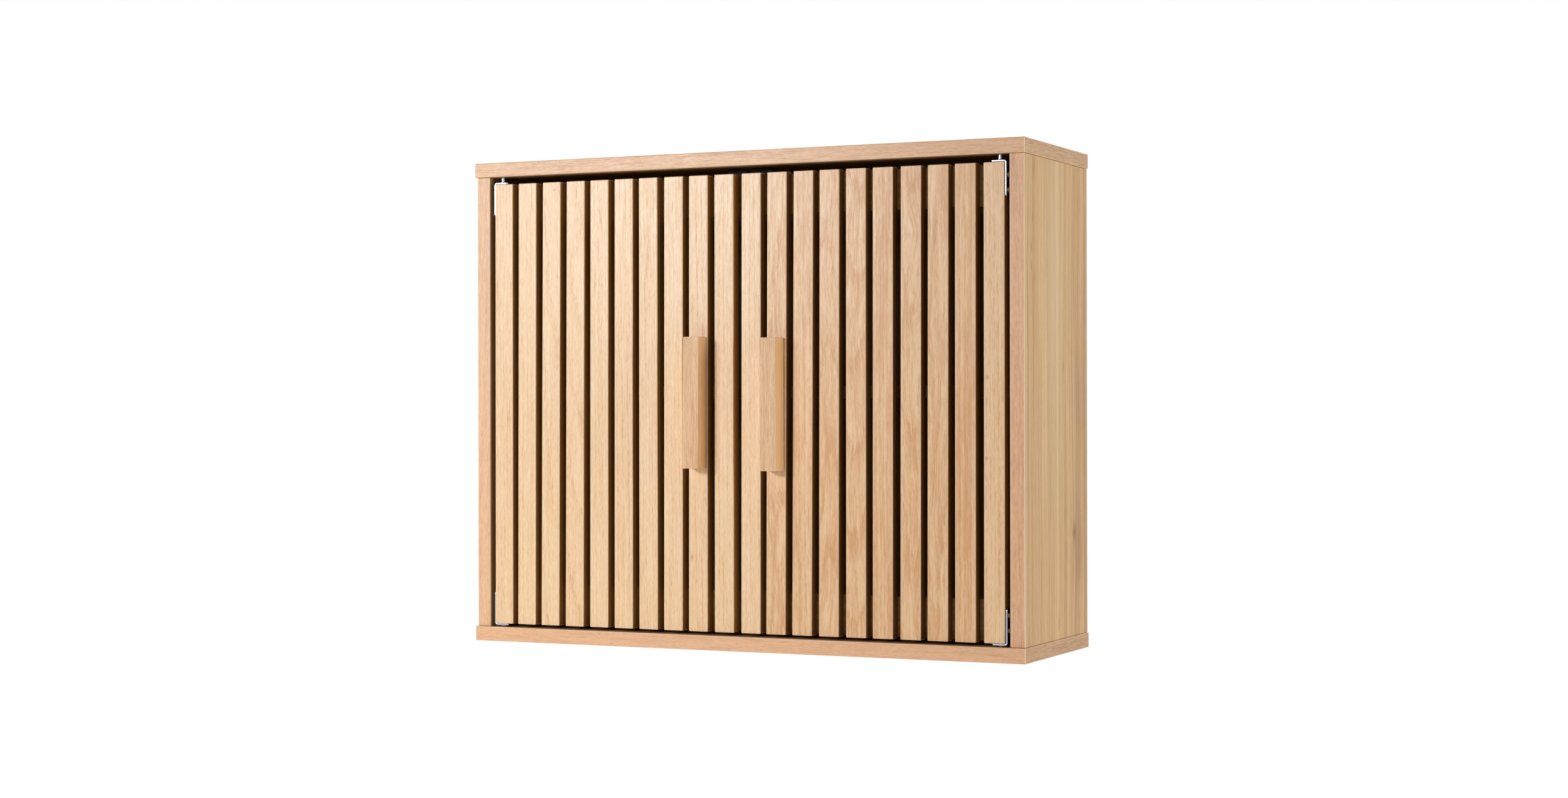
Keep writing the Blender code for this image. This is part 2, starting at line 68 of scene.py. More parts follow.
# The gap round fitted pieces, the thickness of bent steel, and how far cuts reach past a face
FIT_GAP = 0.0003
PLATE_THICKNESS = 0.0015
CUT_PAST = 0.004

# Each kind of screw: the radius and height of its head, the radius of its shank, its reach, and
# whether its head is sunk. The hinge screws reach as far as their nodes do.
SLAT_SCREW = (0.0034, 0.0012, 0.0017, 0.020)
HANDLE_SCREW = (0.0034, 0.0014, 0.0018, 0.024)
HINGE_SCREW = (0.0028, 0.0015, 0.0015)
STRIKE_SCREW = (0.0026, 0.00015, 0.0014, 0.012, True)
CATCH_SCREW = (0.0028, 0.0012, 0.0015, 0.010)
HANGER_SCREW = (0.0034, 0.0016, 0.0017, 0.013)

# The keyholes of the hangers: how far out they are, the radii of slot and entry, and the drop
KEYHOLE = (0.272, 0.0025, 0.00475, 0.012)

# The zinc plates, by the colour they take: the name of the material and how rough it is
PLATES = {"steel": ("bright_zinc", 0.24), "screw_steel": ("yellow_zinc", 0.34),
          "dull_steel": ("dull_zinc", 0.40)}

# How far each slat's top and foot stand from their even places, in millimetres, from left to right,
# and the same for the handles, with how much higher each sits
SLAT_TOPS = (0.1, 0.0, 0.5, 0.4, -0.2, -0.4, -0.8, -0.3, -0.6, -0.5,
             0.1, 0.0, 0.3, -0.2, -0.5, -0.6, 0.4, 0.0, -0.7, 0.1)
SLAT_FEET = (-0.3, -1.6, -2.0, -1.7, -1.3, -1.2, -1.0, -1.2, -1.5, -0.8,
             -1.0, -2.0, -2.1, -1.7, -1.1, -1.4, -0.8, -1.2, -1.2, -0.2)
HANDLE_LEANS = {"left": (0.5, -0.6, 0.8), "right": (-1.6, -1.2, -1.0)}

# How dark each slat's wood is, from left to right, which slats are flamed, counted from 0, and how
# far the fibres of a plain slat and of a flamed one in each door bend
SLAT_TONES = (0.05, 0.0, -0.05, 0.0, 0.0, 0.05, 0.02, -0.05, 0.1, 0.02,
              -0.04, 0.40, 0.38, 0.42, 0.42, 0.48, 0.42, 0.46, 0.52, 0.20)
FLAMED_SLATS = (2, 3, 11, 13, 14, 16, 17)
FIGURES = {"plain": 0.002, "left": 0.010, "right": 0.022}
RING_WIDTH = 0.0034

# Small knots in the slats: their places across and up, and their reach across and up
SLAT_KNOTS = ((-0.2113, 0.0147, 0.0014, 0.0011), (-0.0516, -0.3615, 0.0012, 0.003),
              (0.2127, -0.0486, 0.0009, 0.0045), (0.1943, -0.0816, 0.001, 0.003),
              (0.2654, -0.1826, 0.0018, 0.0022), (0.2646, -0.2599, 0.0014, 0.0022))

# Painted shade on the slats' walls in the gaps: facing left, facing right in each door, and at the
# right end of each door, by the slat's count. The painted shade deepens over this depth.
LEFT_WALL_PAINTED_SHADE = (0.34, 0.28, 0.14)
RIGHT_WALLS_PAINTED_SHADE = {"left": (0.50, 0.36, 0.15), "right": (0.37, 0.28, 0.12)}
END_WALLS_PAINTED_SHADE = {9: (0.82, 0.61, 0.29), 19: (0.42, 0.31, 0.12)}
WALL_DEPTH = 0.013

# Stripes of the right side panel: their places in depth, their reach and how much darker they are
SIDE_STRIPES = ((-0.178, 0.004, 0.12), (-0.150, 0.006, 0.08), (-0.142, 0.0025, 0.15),
                (-0.129, 0.007, -0.20), (-0.0915, 0.004, -0.45), (-0.066, 0.005, 0.12),
                (-0.044, 0.002, 0.20), (-0.033, 0.004, 0.25), (-0.006, 0.006, 0.20))

# Soft areas there: place and reach in depth, then in height, and how brown, or how pale below zero
SIDE_AREAS = ((-0.0291, 0.024, -0.3467, 0.06, 0.30), (-0.018, 0.016, -0.2147, 0.07, 0.32),
              (-0.1, 0.018, -0.09, 0.17, -0.36))

# The knot and the short dark dashes there: their places in depth and height
SIDE_KNOT = (-0.0411, -0.3367)
SIDE_DASHES = ((-0.1689, -0.0579), (-0.1683, -0.0764), (-0.1663, -0.0298), (-0.072, -0.17),
               (-0.0884, -0.4272), (-0.0884, -0.42))

# Painted shade on the boards' inner faces and on the shelf's band, then tints that darken the bands
# on the ends, the bands at the right and below, and the right side panel
INNER_PAINTED_SHADE = (0.38, 0.33, 0.27)
SHELF_PAINTED_SHADE = (0.28, 0.22, 0.16)
END_SHADE = (0.77, 0.76, 0.58)
BAND_SHADE = (0.96, 0.91, 0.86)
SIDE_SHADE = (1.0, 0.975, 0.94)


def linear(red, green, blue):
    """A colour as a screen shows it, from 0 to 255, in Blender's linear values."""
    shares = [value / 255 for value in (red, green, blue)]
    return tuple(s / 12.92 if s <= 0.04045 else ((s + 0.055) / 1.055) ** 2.4 for s in shares)


# Painted highlights on the edges of the three kinds of oak, and small areas that differ from the
# wood round them
SLAT_EDGE_HIGHLIGHT = linear(255, 240, 220)
HANDLE_EDGE_HIGHLIGHT = linear(252, 222, 188)
BOARD_EDGE_HIGHLIGHT = linear(252, 232, 210)
SLAT_KNOT = linear(182, 118, 66)
SIDE_BROWN = linear(128, 72, 22)
SIDE_PALE = linear(238, 214, 182)
BACK_STAIN = linear(96, 66, 42)


def length(name, description, default):
    """A length that a user can change."""
    return bpy.props.FloatProperty(name=name, description=description, default=default,
                                   min=0.0, unit="LENGTH", precision=4)


def colour(name, description, *screen):
    """A colour that a user can change, given as a screen shows it."""
    return bpy.props.FloatVectorProperty(
        name=name, description=description, default=linear(*screen), size=3, min=0.0, max=1.0,
        subtype="COLOR")


class CABINET_PG_sizes(bpy.types.PropertyGroup):
    """Sizes of the small forms that the looks add."""

    slat_edge: length("Slat edge", "Radius of the eased edges of the slats", 0.0009)
    handle_edge: length("Handle edge", "Radius of the eased edges of the handles", 0.0007)
    bracket_bend: length("Bracket bend", "Outer radius of the bend in the steel brackets", 0.0025)
    bracket_corner: length("Bracket corner", "Radius of the brackets' round corners", 0.002)
    steel_edge: length("Steel edge", "Radius of the edges of cut steel", 0.0002)
    catch_edge: length("Catch edge", "Radius of the edges of the plastic catch", 0.001)
    key_light_power: bpy.props.FloatProperty(
        name="Key light", description="Power of the large lamp at the front left", default=48.0,
        min=0.0, unit="POWER")
    world_level: bpy.props.FloatProperty(
        name="World level", description="How brightly the world lights the cabinet", default=0.10,
        min=0.0, max=1.0, subtype="FACTOR")


class CABINET_PG_colours(bpy.types.PropertyGroup):
    """Colours of the finishes."""

    slat_pale: colour("Slat, pale", "Palest wood of the slats", 246, 214, 174)
    slat_mid: colour("Slat, middle", "Common tone of the slats", 240, 200, 153)
    slat_dark: colour("Slat, dark", "Darkest streaks of the slats", 215, 156, 99)
    pore: colour("Pores", "Short dark pores of the oak", 178, 124, 78)
    knot: colour("Knots", "Small reddish knots", 140, 88, 50)
    band_pale: colour("Edge band, pale", "Palest wood of the edge bands", 238, 190, 147)
    band_dark: colour("Edge band, dark", "Dark dashes of the edge bands", 196, 140, 96)
    board_pale: colour("Board, pale", "Palest stripes of the boards", 229, 192, 136)
    board_mid: colour("Board, middle", "Common tone of the boards", 212, 172, 117)
    board_dark: colour("Board, dark", "Darkest stripes of the boards", 188, 143, 89)
    # The rails' colours are darkened with painted shade
    rail_pale: colour("Rail, pale", "Palest wood of the rails", 174, 142, 84)
    rail_dark: colour("Rail, dark", "Darkest streaks of the rails", 142, 106, 56)
    handle_pale: colour("Handle, pale", "Palest wood of the handles", 242, 200, 156)
    handle_dark: colour("Handle, dark", "Darkest streaks of the handles", 212, 160, 114)
    # Painted light: the handles' sides take a paler, golden colour for the light that falls on them
    handle_side: colour("Handle, side", "Golden wood on the handles' sides", 253, 208, 148)
    back_board: colour("Back panel", "Brown fibreboard at the back", 150, 110, 74)
    # Painted shade: the back panel's inside is darker for the dim interior
    back_inside_painted_shade: colour("Back panel, inside", "Its side towards the shelf", 116, 82, 50)
    steel: colour("Steel", "Bright zinc plate", 178, 182, 193)
    screw_steel: colour("Screws", "Yellow zinc plate of the screws", 160, 140, 104)
    dull_steel: colour("Hanger steel", "Dull zinc plate of the hangers", 196, 198, 200)
    plastic: colour("Catch", "Dark brown plastic of the catch", 36, 26, 20)
    magnet: colour("Magnet", "Dark ferrite of the magnets", 66, 66, 70)


class Wire:
    """A socket of a finish. Python's operators on it add Math nodes."""

    def __init__(self, finish, socket):
        self.finish = finish
        self.socket = socket

    def __add__(self, other):
        return self.finish.math("ADD", self, other)

    def __radd__(self, other):
        return self.finish.math("ADD", other, self)

    def __sub__(self, other):
        return self.finish.math("SUBTRACT", self, other)

    def __rsub__(self, other):
        return self.finish.math("SUBTRACT", other, self)

    def __mul__(self, other):
        return self.finish.math("MULTIPLY", self, other)

    def __truediv__(self, other):
        return self.finish.math("DIVIDE", self, other)

    def __pow__(self, other):
        return self.finish.math("POWER", self, other)

    def __neg__(self):
        return self.finish.math("MULTIPLY", self, -1.0)

    def __abs__(self):
        return self.finish.math("ABSOLUTE", self)


class Finish:
    """The nodes of a material or a world, with the steps that patterns are made of."""

    def __init__(self, name, kind="materials"):
        self.owner = getattr(bpy.data, kind).new(name)
        self.owner.use_nodes = True
        self.tree = self.owner.node_tree
        self.tree.nodes.clear()

    def add(self, kind, sockets=None, settings=None, output=0):
        """Adds a node, sets it up, fills its sockets and returns one of its outputs."""
        node = self.tree.nodes.new(kind)
        for name, value in (settings or {}).items():
            setattr(node, name, value)
        for name, value in (sockets or {}).items():
            if isinstance(value, Wire):
                self.tree.links.new(value.socket, node.inputs[name])
            else:
                node.inputs[name].default_value = value
        return Wire(self, node.outputs[output] if node.outputs else None)

    def math(self, operation, first, second=0.0):
        """Works out two numbers."""
        return self.add("ShaderNodeMath", {0: first, 1: second}, {"operation": operation})

    def vector(self, operation, first, second):
        """Works out two vectors."""
        return self.add("ShaderNodeVectorMath", {0: first, 1: second}, {"operation": operation})

    def place(self):
        """Where a point is on the cabinet at rest."""
        return self.add("ShaderNodeTexCoord", output=3)

    def facing(self):
        """Which way the surface faces, as its three parts."""
        return self.split(self.add("ShaderNodeTexCoord", output=1))

    def split(self, vector):
        """The three parts of a vector."""
        node = self.add("ShaderNodeSeparateXYZ", {0: vector}).socket.node
        return [Wire(self, socket) for socket in node.outputs]

    def join(self, x, y, z):
        """A vector of three parts."""
        return self.add("ShaderNodeCombineXYZ", {0: x, 1: y, 2: z})

    def attribute(self, name, output):
        """A value that is stored on the mesh of a piece."""
        return self.add("ShaderNodeAttribute", None, {"attribute_name": name}, output)

    def ramp(self, value, low, high, start=0.0, end=1.0):
        """Goes smoothly from start to end as the value goes from low to high."""
        return self.add("ShaderNodeMapRange", {0: value, 1: low, 2: high, 3: start, 4: end},
                        {"interpolation_type": "SMOOTHSTEP"})

    def faced(self, part):
        """1 where this part of the surface's direction is nearly whole."""
        return self.ramp(part, 0.6, 0.9)

    def seen_by(self, *rays):
        """1 for the kinds of ray that are named."""
        path = self.add("ShaderNodeLightPath").socket.node
        seen = 0.0
        for ray in rays:
            seen = self.math("MAXIMUM", seen, Wire(self, path.outputs[ray]))
        return seen

    def blend(self, share, first, second, how="MIX"):
        """Mixes two colours."""
        first, second = (c if isinstance(c, Wire) else (*c, 1.0) for c in (first, second))
        return self.add("ShaderNodeMix", {0: share, 6: first, 7: second},
                        {"data_type": "RGBA", "blend_type": how}, 2)

    def shaded(self, base, shade, share=1.0):
        """Darkens a colour by a shade, wholly or by a share."""
        return self.blend(share, base, shade, "MULTIPLY")

    def choose(self, share, first, second):
        """Mixes two vectors."""
        return self.add("ShaderNodeMix", {0: share, 4: first, 5: second},
                        {"data_type": "VECTOR"}, 1)

    def noise(self, grain, width, run, detail=2.0, shift=0.0, bend=0.0):
        """Noise drawn out along the grain, with marks of about this width and run."""
        stretch = (1 / width, 1 / width, 1 / run)
        moved = self.vector("ADD", self.vector("MULTIPLY", grain, stretch), (shift, shift, shift))
        return self.add("ShaderNodeTexNoise", {
            "Vector": moved, "Scale": 1.0, "Detail": detail, "Roughness": 0.55,
            "Distortion": bend})

    def surface(self, base, roughness, height, depth, metallic=0.0, sheen=0.5):
        """Finishes the material with its shader, whose bumps are this deep."""
        bump = self.add("ShaderNodeBump", {
            "Strength": 1.0, "Distance": depth, "Height": height})
        shader = self.add("ShaderNodeBsdfPrincipled", {
            "Base Color": base, "Roughness": roughness, "Metallic": metallic,
            "Specular IOR Level": sheen, "Normal": bump})
        self.add("ShaderNodeOutputMaterial", {"Surface": shader})
        return self.owner


def oak_marks(finish, grain, shift=0.0):
    """What all the oak shares: pores from 0 to 1, and marks that are even about 0."""
    tick = finish.noise(grain, 0.0007, 0.0055, detail=1.0, shift=shift + 9.1, bend=0.3)
    return SimpleNamespace(
        streak=finish.noise(grain, 0.0055, 0.16, detail=4.0, shift=shift) - 0.5,
        fibre=finish.noise(grain, 0.0013, 0.022, detail=3.0, shift=shift + 3.7) - 0.5,
        fleck=finish.noise(grain, 0.0008, 0.006, shift=shift + 6.1) - 0.5,
        cloud=finish.noise(grain, 0.018, 0.09, shift=shift + 5.3) - 0.5,
        pore=finish.ramp(tick, 0.54, 0.68))


def near_edge(finish, node):
    """1 beside any edge of a board, and 1 beside an upright one at the right, within 1 mm."""
    low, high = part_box(node)
    parts = finish.split(finish.place())
    gaps = [finish.math("MINIMUM", part - first, last - part)
            for part, first, last in zip(parts, low, high)]
    least = finish.math("MINIMUM", finish.math("MINIMUM", gaps[0], gaps[1]), gaps[2])
    wide = finish.math("MAXIMUM", gaps[0], gaps[1])
    second = gaps[0] + gaps[1] + gaps[2] - least - finish.math("MAXIMUM", wide, gaps[2])
    upright = wide + finish.ramp(parts[0], 0.0, 0.1, 1.0, 0.0)
    return [finish.ramp(gap, 0.0006, 0.001, 1.0, 0.0) for gap in (second, upright)]


def spot(finish, *axes):
    """A soft spot, 1 in its middle. Each axis is a coordinate, its middle and its reach."""
    total = 0.0
    for value, middle, reach in axes:
        away = (value - middle) / reach
        total = total + away * away
    return finish.math("EXPONENT", -total)


def slat_oak(colours):
    """The oak of the slats, with rings cut from a trunk of its own for each slat."""
    finish = Finish("slat_oak")
    slat_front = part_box("left_slat_01")[0].y
    x, y, z = finish.split(finish.place())
    trunk_x, trunk_y, lean = finish.split(finish.attribute("trunk", 1))
    tone = finish.attribute("tone", 2)
    eased = finish.attribute("eased", 2)
    sway = finish.noise(finish.place(), 0.03, 0.1, detail=1.0, shift=7.7) - 0.5
    bent = x + sway * finish.attribute("figure", 2)
    marks = oak_marks(finish, finish.join(bent, y, z))
    from_x = bent - trunk_x + z * lean * 0.3
    from_y = y - trunk_y - z * lean
    radius = (from_x * from_x + from_y * from_y) ** 0.5 + marks.fibre * 0.0008
    ring = finish.math("FRACT", radius / RING_WIDTH)
    early = finish.ramp(ring, 0.0, 0.45, 1.0, 0.0) * finish.ramp(ring, 0.0, 0.08)
    pores = marks.pore * (early * 0.6 + 0.4)
    darkness = (marks.streak * 1.1 + marks.fibre * 1.1 + marks.fleck * (1.5 - tone * 1.9)
                + marks.cloud * 0.35 + early * 0.25 + tone + 0.40)
    wood = finish.blend(finish.ramp(darkness, 0.0, 0.45), colours.slat_pale, colours.slat_mid)
    wood = finish.blend(finish.ramp(darkness, 0.45, 1.3), wood, colours.slat_dark)
    wood = finish.blend(pores * (tone * 0.4 + 0.28), wood, colours.pore)
    for knot_x, knot_z, width, tall in SLAT_KNOTS:
        knot = spot(finish, (x, knot_x, width), (z, knot_z, tall))
        wood = finish.blend(knot * 0.6, wood, SLAT_KNOT)
    # Painted shade on the slats' walls in the gaps, lighter near the front edge and deeper towards
    # the back
    face_x = finish.facing()[0]
    right = finish.faced(face_x)
    shade = finish.blend(right, LEFT_WALL_PAINTED_SHADE, finish.attribute("wall", 0))
    deep = finish.ramp(y, slat_front, slat_front + WALL_DEPTH, 1.35, 0.6)
    shade = finish.vector("MULTIPLY", shade, finish.join(deep, deep, deep))
    wood = finish.shaded(wood, shade, finish.faced(abs(face_x)) * (1 - eased))
    # Painted highlight on the eased edges
    wood = finish.blend(eased * 0.28, wood, SLAT_EDGE_HIGHLIGHT)
    roughness = 0.37 + marks.fibre * 0.2
    height = marks.fibre * 0.4 - pores * 0.6
    return finish.surface(wood, roughness, height, 0.00007, sheen=0.66)


def handle_oak(colours):
    """The oak of the handles, a little redder than the slats."""
    finish = Finish("handle_oak")
    place = finish.place()
    marks = oak_marks(finish, place, shift=21.3)
    eased = finish.attribute("eased", 2)
    fine = finish.noise(place, 0.0006, 0.014, shift=5.5)
    darkness = marks.streak * 1.3 + marks.fibre + (fine - 0.5) * 1.3 + 0.45
    wood = finish.blend(finish.ramp(darkness, 0.0, 1.0), colours.handle_pale, colours.handle_dark)
    wood = finish.blend(marks.pore * 0.22, wood, colours.pore)
    # Painted light on the handles' sides, which take a paler, golden colour
    side = finish.faced(abs(finish.facing()[0]))
    figured = finish.ramp(darkness, 0.3, 0.9) * 0.4
    painted_side_light = finish.blend(figured, colours.handle_side, colours.handle_dark)
    wood = finish.blend(side * (1 - eased) * 0.9, wood, painted_side_light)
    # Painted highlight on the eased edges
    wood = finish.blend(eased * 0.25, wood, HANDLE_EDGE_HIGHLIGHT)
    return finish.surface(wood, 0.5 + marks.fibre * 0.2, marks.fibre - marks.pore, 0.00005)


def board_oak(colours, node, along, inward=None, right=False):
    """Oak foil on a board, with edge bands of another veneer on the front and the ends."""
    finish = Finish(f"{node}_oak")
    board_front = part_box(node)[0].y
    x, y, z = finish.split(finish.place())
    face_x, face_y, face_z = finish.facing()
    front = finish.faced(-face_y)
    shift = sum(map(ord, node)) % 17
    if along == "X":
        end = finish.faced(abs(face_x))
        grain = finish.choose(end, finish.join(y, z, x), finish.join(z, x, y * 0.4))
    else:
        end = 0.0
        sway = finish.noise(finish.place(), 0.06, 0.22, detail=1.0, shift=12.1) - 0.5
        y = y + sway * 0.01
        grain = finish.join(x, y, z)
    stripe = finish.noise(grain, 0.01, 0.9, shift=shift + 1.3)
    darkness = (stripe - 0.5) * (1.3 if right else 2.2) + 0.5
    if right:
        knot_y, knot_z = SIDE_KNOT
        round_knot = spot(finish, (y, knot_y, 0.012), (z, knot_z, 0.03))
        grain = finish.join(x, y + round_knot * (y - knot_y) * 0.9, z)
        for middle, width, darker in SIDE_STRIPES:
            darkness = darkness + spot(finish, (y, middle, width)) * darker
        below = spot(finish, (y, knot_y + 0.017, 0.010), (z, knot_z - 0.020, 0.034))
        darkness = darkness + below * 0.4
    marks = oak_marks(finish, grain, shift)
    line = finish.noise(grain, 0.0022, 0.35, shift=shift + 2.9)
    darkness = darkness + (line - 0.5) * 1.7 + marks.fibre + marks.streak * 0.9
    foil = finish.blend(finish.ramp(darkness, 0.0, 0.5), colours.board_pale, colours.board_mid)
    foil = finish.blend(finish.ramp(darkness, 0.5, 1.1), foil, colours.board_dark)
    foil = finish.blend(marks.pore * 0.26, foil, colours.pore)
    if right:
        foil = finish.shaded(foil, SIDE_SHADE)
        for area_y, reach_y, area_z, reach_z, share in SIDE_AREAS:
            area = spot(finish, (y, area_y, reach_y), (z, area_z, reach_z)) * abs(share)
            foil = finish.blend(area, foil, SIDE_BROWN if share > 0 else SIDE_PALE)
        knot = spot(finish, (y, knot_y, 0.0042), (z, knot_z, 0.0085))
        foil = finish.blend(knot * 0.85, foil, SIDE_BROWN)
        for dash_y, dash_z in SIDE_DASHES:
            mark = spot(finish, (y, dash_y, 0.001), (z, dash_z, 0.005))
            foil = finish.blend(mark * 0.7, foil, colours.knot)
    tick = finish.noise(grain, 0.0008, 0.0065, shift=shift + 4.4, bend=0.3)
    dash = finish.ramp(tick + end * 0.05, 0.52, 0.70)
    lines = marks.streak * 1.2 + marks.fibre * 1.6 + marks.fleck * 1.4 + 0.33
    lines = finish.ramp(lines, 0.0, 1.0) * (0.72 if right else 0.56)
    band = finish.blend(lines, colours.band_pale, colours.band_dark)
    band = finish.blend(dash * (end * 0.5 + 0.40), band, colours.band_dark)
    # Painted shade on the shelf's band
    if node == "shelf":
        band = finish.shaded(band, SHELF_PAINTED_SHADE)
    elif along == "X":
        band = finish.shaded(band, END_SHADE, end)
    if right or node == "bottom_panel":
        band = finish.shaded(band, BAND_SHADE)
    banded = finish.math("MAXIMUM", front, end)
    # Painted shade on the inner faces, lighter towards the front edge
    if inward:
        inside = finish.faced(face_x * inward[0] + face_z * inward[1])
        inside = inside * finish.ramp(y, board_front, board_front + 0.02, 0.4, 1.0)
        if along == "X":
            side_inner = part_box("right_side_panel")[0].x
            inside = inside * finish.ramp(abs(x), side_inner, side_inner + 0.001, 1.0, 0.0)
        foil = finish.shaded(foil, INNER_PAINTED_SHADE, inside)
    wood = finish.blend(banded, foil, band)
    # Painted highlights along the edges, strongest on the upright edges at the right
    if node != "shelf":
        edge, upright = near_edge(finish, node)
        pale = edge * 0.22 + upright * (0.34 if right else 0.6)
        wood = finish.blend(pale, wood, BOARD_EDGE_HIGHLIGHT)
    roughness = 0.5 - banded * 0.1 + marks.fibre * 0.16
    height = marks.fibre * 0.3 - marks.pore * 0.5 - dash * banded * 0.2
    return finish.surface(wood, roughness, height, 0.00008,
                          sheen=0.25 if node == "shelf" else 0.65)


def rail_oak(colours):
    """Plain oak of the rails, which lie in the shade, with painted shade darkening its colours."""
    finish = Finish("rail_oak")
    x, y, z = finish.split(finish.place())
    grain = finish.join(y, z, x)
    marks = oak_marks(finish, grain, shift=31.9)
    dash = finish.ramp(finish.noise(grain, 0.0009, 0.012, shift=3.1), 0.50, 0.64)
    darkness = marks.streak * 1.6 + marks.fibre + 0.6
    wood = finish.blend(finish.ramp(darkness, 0.0, 1.1), colours.rail_pale, colours.rail_dark)
    wood = finish.blend(dash * 0.45, wood, colours.knot)
    return finish.surface(wood, 0.62 + marks.fibre * 0.2, marks.fibre - marks.pore, 0.00015)


def back_board(colours):
    """Thin brown fibreboard, smooth on the side that faces the shelf, where painted shade darkens
    it.
    """
    finish = Finish("back_board")
    place = finish.place()
    inside = finish.ramp(-finish.facing()[1], 0.4, 0.8)
    felt = finish.noise(place, 0.0012, 0.0016, detail=4.0)
    mottle = finish.noise(place, 0.03, 0.04) * 0.5
    sides = []
    # The inside's colour carries painted shade
    for base, felted, stained, low, high in ((colours.back_board, 0.6, 0.3, 0.35, 0.75),
                                             (colours.back_inside_painted_shade, 0.5, 0.25, 0.3, 0.7)):
        stain = finish.blend(stained, base, BACK_STAIN)
        sides.append(finish.blend(finish.ramp(felt * felted + mottle, low, high), base, stain))
    return finish.surface(finish.blend(inside, *sides), 0.8 - inside * 0.25,
                          felt * (1 - inside * 0.8), 0.0003, sheen=0.3)


def plated_steel(name, plate, roughness):
    """Zinc-plated steel with faint rolling marks and a mottled gloss."""
    finish = Finish(name)
    place = finish.place()
    cloud = finish.noise(place, 0.006, 0.006, detail=3.0)
    drawn = finish.noise(place, 0.0004, 0.0096)
    dull = tuple(part * 0.86 for part in plate)
    base = finish.blend(finish.ramp(cloud, 0.3, 0.75), plate, dull)
    gloss = roughness + (cloud - 0.5) * 0.2 + (drawn - 0.5) * 0.1
    return finish.surface(base, gloss, drawn, 0.00002, metallic=1.0)


def moulded_plastic(colours):
    """Dark brown moulded plastic with a fine spark-eroded texture."""
    finish = Finish("moulded_plastic")
    place = finish.place()
    grains = finish.noise(place, 0.0004, 0.0004)
    cloud = finish.noise(place, 0.01, 0.01)
    base = finish.blend(finish.ramp(cloud, 0.3, 0.7) * 0.2, colours.plastic, linear(52, 40, 32))
    return finish.surface(base, 0.62 + (grains - 0.5) * 0.2, grains, 0.00003, sheen=0.2)


def ferrite(colours):
    """Dark ferrite with a ground face."""
    finish = Finish("ferrite")
    ground = finish.noise(finish.place(), 0.0003, 0.006)
    share = finish.ramp(ground, 0.35, 0.7) * 0.5
    base = finish.blend(share, colours.magnet, linear(104, 104, 108))
    return finish.surface(base, 0.38 + (ground - 0.5) * 0.3, ground, 0.00003, metallic=0.6)


def ready(name, make, *values):
    """The material of this name, made the first time it is asked for."""
    return bpy.data.materials.get(name) or make(*values)


def zinc(plate):
    """One of the zinc plates."""
    name, roughness = PLATES[plate]
    colours = bpy.context.scene.cabinet_colours
    return ready(name, plated_steel, name, tuple(getattr(colours, plate)), roughness)


def coat_node(node, material):
    """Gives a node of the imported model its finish."""
    materials = NODES[node].data.materials
    materials.clear()
    materials.append(material)


def point(node, x=0, y=0, z=0):
    """A point of a node's box, whose sides are at -1 and 1 along each axis."""
    low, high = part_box(node)
    return (low + high) / 2 + (high - low) / 2 * Vector((x, y, z))


def extent(node):
    """The size of a node's box."""
    low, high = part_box(node)
    return high - low


def meshed(name, bm):
    """A mesh from a bmesh, which is freed."""
    mesh = bpy.data.meshes.new(name)
    bm.to_mesh(mesh)
    bm.free()
    return mesh


def placed(name, data):
    """An object in the scene from its mesh, lamp or camera."""
    made = bpy.data.objects.new(name, data)
    bpy.context.scene.collection.objects.link(made)
    return made


def cube(low, high):
    """A bmesh box between two corners."""
    low, high = Vector(low), Vector(high)
    bm = bmesh.new()
    size = Matrix.Diagonal((*(high - low), 1.0))
    bmesh.ops.create_cube(bm, size=1.0, matrix=Matrix.Translation((low + high) / 2) @ size)
    return bm


def leaning(low, high, top, foot, rise=0.0):
    """A box whose top and foot are shifted along X, and all of it up, in millimetres."""
    bm = cube(low, high)
    slope = (top - foot) / 1000 / (high.z - low.z)
    lean = Matrix.Shear("XY", 4, (slope, 0))
    centre = Matrix.Translation((low + high) / 2)
    shift = Matrix.Translation(((top + foot) / 2000, 0, rise / 1000))
    bmesh.ops.transform(bm, matrix=shift @ centre @ lean @ centre.inverted(), verts=bm.verts)
    return bm


def bevel(bm, edges, radius, segments, clamp=False):
    """Rounds edges and returns the new faces."""
    return bmesh.ops.bevel(bm, geom=edges, offset=radius, segments=segments, profile=0.5,
                           affect="EDGES", material=-1, clamp_overlap=clamp)["faces"]


def ease(bm, edges, radius, segments=4):
    """Rounds edges, and marks the new faces as eased for the finish to find."""
    layers = bm.faces.layers.float
    layer = layers.get("eased") or layers.new("eased")
    for face in bevel(bm, edges, radius, segments, clamp=True):
        face[layer] = 1.0


def sharp_edges(bm):
    """The edges whose faces meet at a sharp angle."""
    bm.normal_update()
    return [edge for edge in bm.edges if edge.is_manifold and edge.calc_face_angle() > SHARP_ANGLE]


def spun(profile, sides=32):
    """A closed turned solid about Z from (radius, height) points that start and end on the axis."""
    bm = bmesh.new()
    points = [bm.verts.new((radius, 0, height)) for radius, height in profile]
    edges = [bm.edges.new(pair) for pair in zip(points, points[1:])]
    bmesh.ops.spin(bm, geom=points + edges, cent=(0, 0, 0), axis=(0, 0, 1), dvec=(0, 0, 0),
                   angle=math.tau, steps=sides, use_merge=True, use_normal_flip=False,
                   use_duplicate=False)
    bmesh.ops.remove_doubles(bm, verts=bm.verts, dist=1e-6)
    bmesh.ops.recalc_face_normals(bm, faces=bm.faces)
    return bm


def disc(radius, thickness, sides=32):
    """A short rod along Z about the origin, to cut holes with."""
    bm = bmesh.new()
    bmesh.ops.create_cone(bm, cap_ends=True, segments=sides, radius1=radius, radius2=radius,
                          depth=thickness)
    return bm


def moved(bm, matrix):
    """Moves a whole bmesh, and keeps its faces pointing outwards."""
    bmesh.ops.transform(bm, matrix=matrix, verts=bm.verts)
    bmesh.ops.recalc_face_normals(bm, faces=bm.faces)
    return bm


